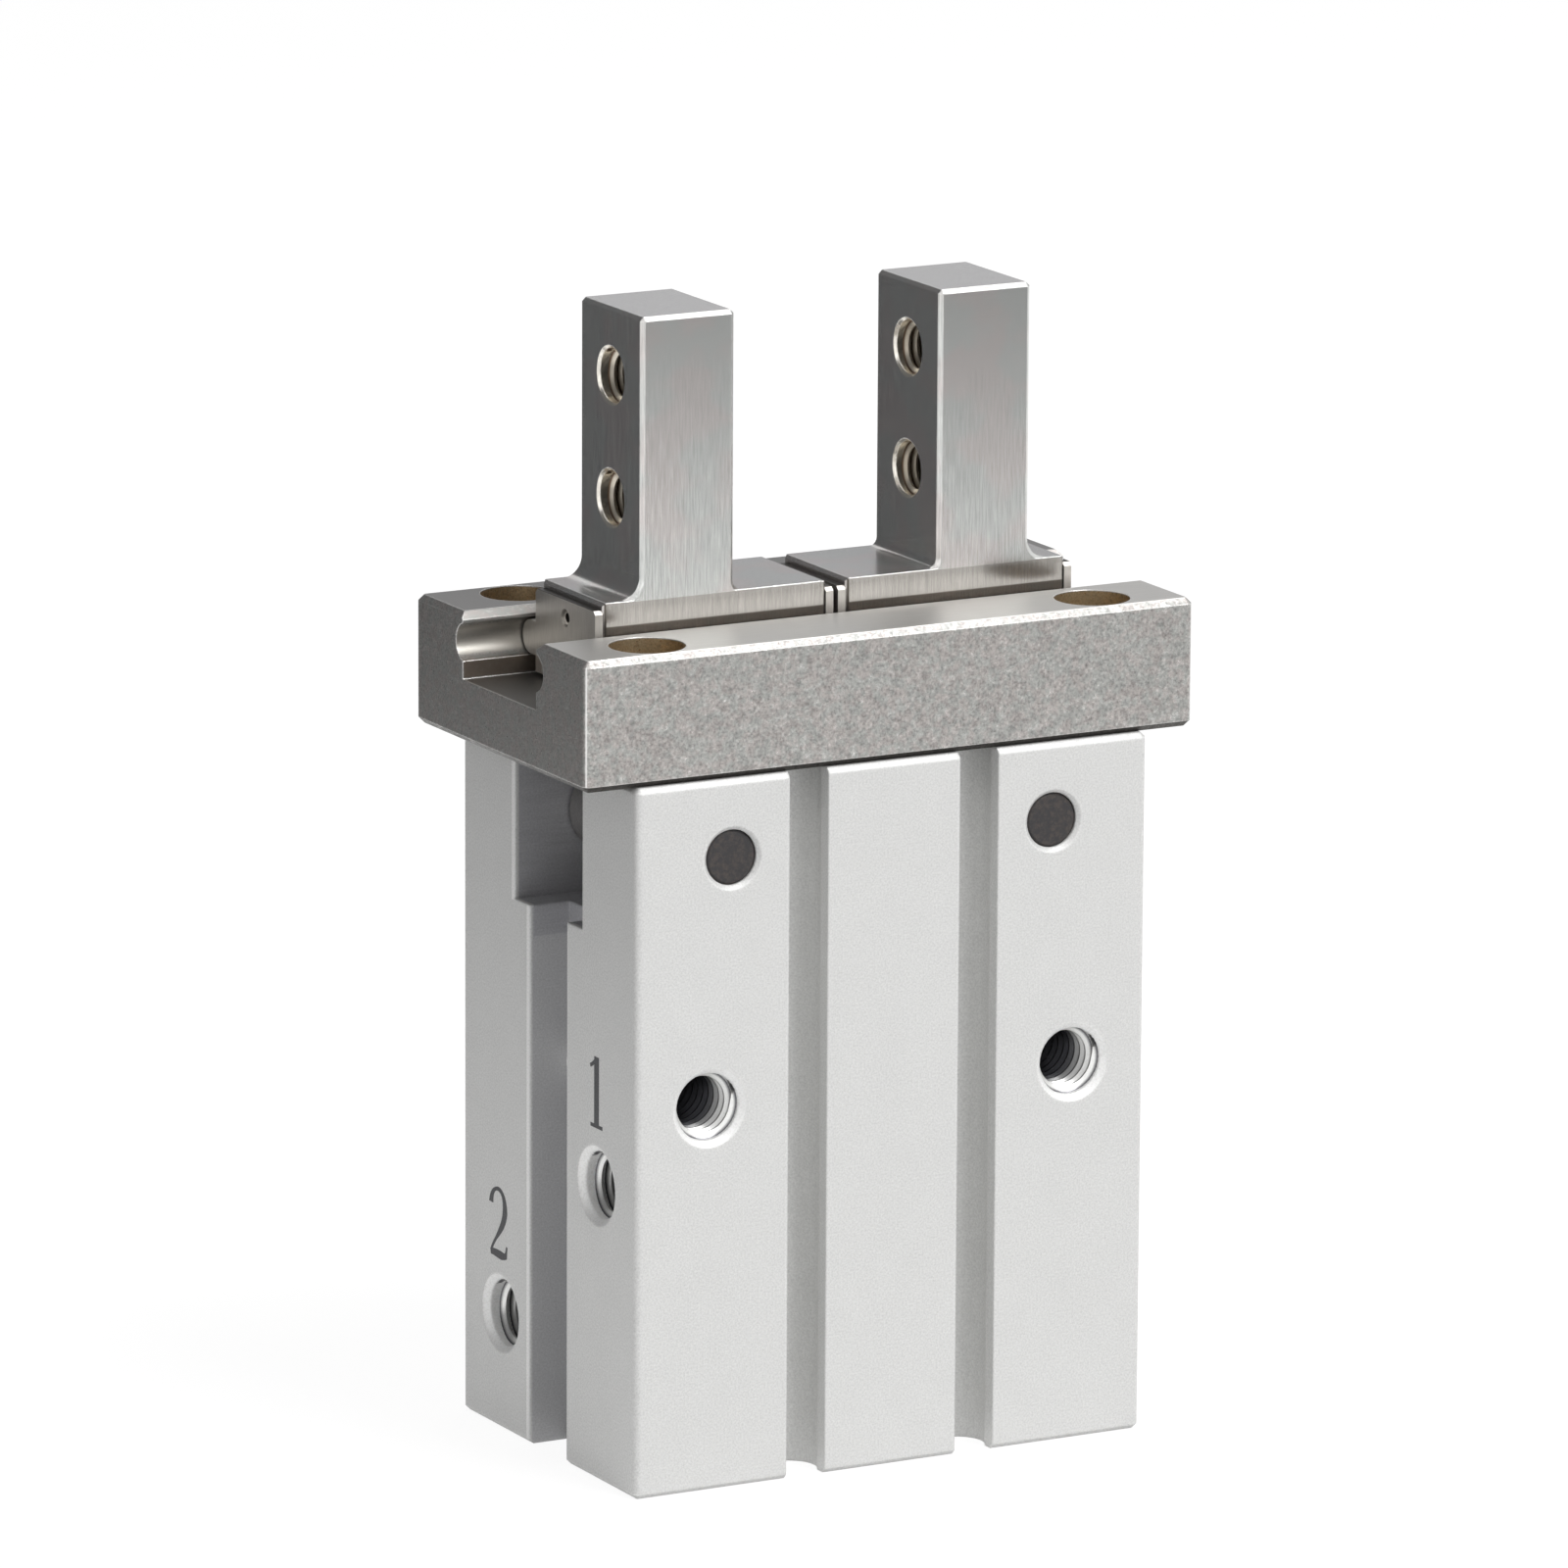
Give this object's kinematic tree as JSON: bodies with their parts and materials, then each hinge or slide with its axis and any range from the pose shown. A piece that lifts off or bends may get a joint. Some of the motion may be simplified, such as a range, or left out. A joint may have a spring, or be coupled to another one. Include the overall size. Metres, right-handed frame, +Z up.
{
  "type": "pneumatic parallel gripper",
  "caption": "Small double-acting air gripper: a piston swings two levers that slide two fingers apart and together on a ball rail, to grip by parallel jaws.",
  "frame": {"origin": "centre of the housing's bottom face, on the cylinder's axis", "axes": "+Z up along the cylinder to the fingertips, X the way the fingers travel, -Y the front with the two pin plugs; the air ports are on the -X face"},
  "size_m": [0.05, 0.0276, 0.085],
  "materials": {
    "anodised_body": "fine blasted and clear anodised",
    "rail_steel": "hardened steel, fine mottled grey with ground edges",
    "finger_steel": "ground stainless steel with an upright grain",
    "plate_steel": "stamped stainless sheet",
    "ball_steel": "polished bearing balls",
    "pin_steel": "ground and polished",
    "lever_steel": "hardened steel, oiled",
    "screw_steel": "steel screws, lightly oiled",
    "spring_steel": "dark spring steel",
    "cap_aluminium": "turned and clear anodised",
    "bush_bronze": "sintered bearing bush",
    "seal_rubber": "moulded nitrile rubber",
    "magnet_rubber": "rubber-bonded magnet",
    "bumper_urethane": "cast urethane",
    "plug_resin": "black resin, moulded"
  },
  "bodies": {
    "housing": {"body_block": "anodised_body", "guide_rail": "rail_steel", "rail_screws": "screw_steel", "head_cap": "cap_aluminium", "cap_gasket": "seal_rubber", "retaining_ring": "spring_steel", "cap_bumper": "bumper_urethane", "rod_bush": "bush_bronze", "rod_seal": "seal_rubber", "seal_retainer": "spring_steel", "lever_pins": "pin_steel", "pin_plugs": "plug_resin"},
    "piston_unit": {"piston": "cap_aluminium", "piston_seal": "seal_rubber", "magnet_ring": "magnet_rubber", "piston_rod": "pin_steel", "piston_screw": "screw_steel", "rod_joint": "lever_steel", "joint_rollers": "pin_steel"},
    "left_finger": {"finger_left": "finger_steel", "outer_end_plate_left": "plate_steel", "inner_end_plate_left": "plate_steel", "steel_balls_left": "ball_steel", "plate_pins_left": "pin_steel"},
    "right_finger": {"finger_right": "finger_steel", "outer_end_plate_right": "plate_steel", "inner_end_plate_right": "plate_steel", "steel_balls_right": "ball_steel", "plate_pins_right": "pin_steel"},
    "left_lever": {"lever_left": "lever_steel"},
    "right_lever": {"lever_right": "lever_steel"}
  },
  "joints": [
    {"name": "piston_slide", "type": "slide", "parent": "housing", "child": "piston_unit", "axis": [0, 0, 1], "range_m": [0, 0.00417]},
    {"name": "left_finger_slide", "type": "slide", "parent": "housing", "child": "left_finger", "axis": [-1, 0, 0], "range_m": [0, 0.005]},
    {"name": "right_finger_slide", "type": "slide", "parent": "housing", "child": "right_finger", "axis": [1, 0, 0], "range_m": [0, 0.005]},
    {"name": "left_lever_pivot", "type": "hinge", "parent": "housing", "child": "left_lever", "pos_m": [-0.0132, 0, 0.0469], "axis": [0, -1, 0], "range_deg": [0, 24.05]},
    {"name": "right_lever_pivot", "type": "hinge", "parent": "housing", "child": "right_lever", "pos_m": [0.0132, 0, 0.0469], "axis": [0, 1, 0], "range_deg": [0, 24.05]}
  ],
  "couplings": [
    {"joint": "left_finger_slide", "follows": "piston_slide", "ratio": 1.1976},
    {"joint": "right_finger_slide", "follows": "piston_slide", "ratio": 1.1976},
    {"joint": "left_lever_pivot", "follows": "piston_slide", "rad_per_m": 100.54},
    {"joint": "right_lever_pivot", "follows": "piston_slide", "rad_per_m": 100.54}
  ]
}
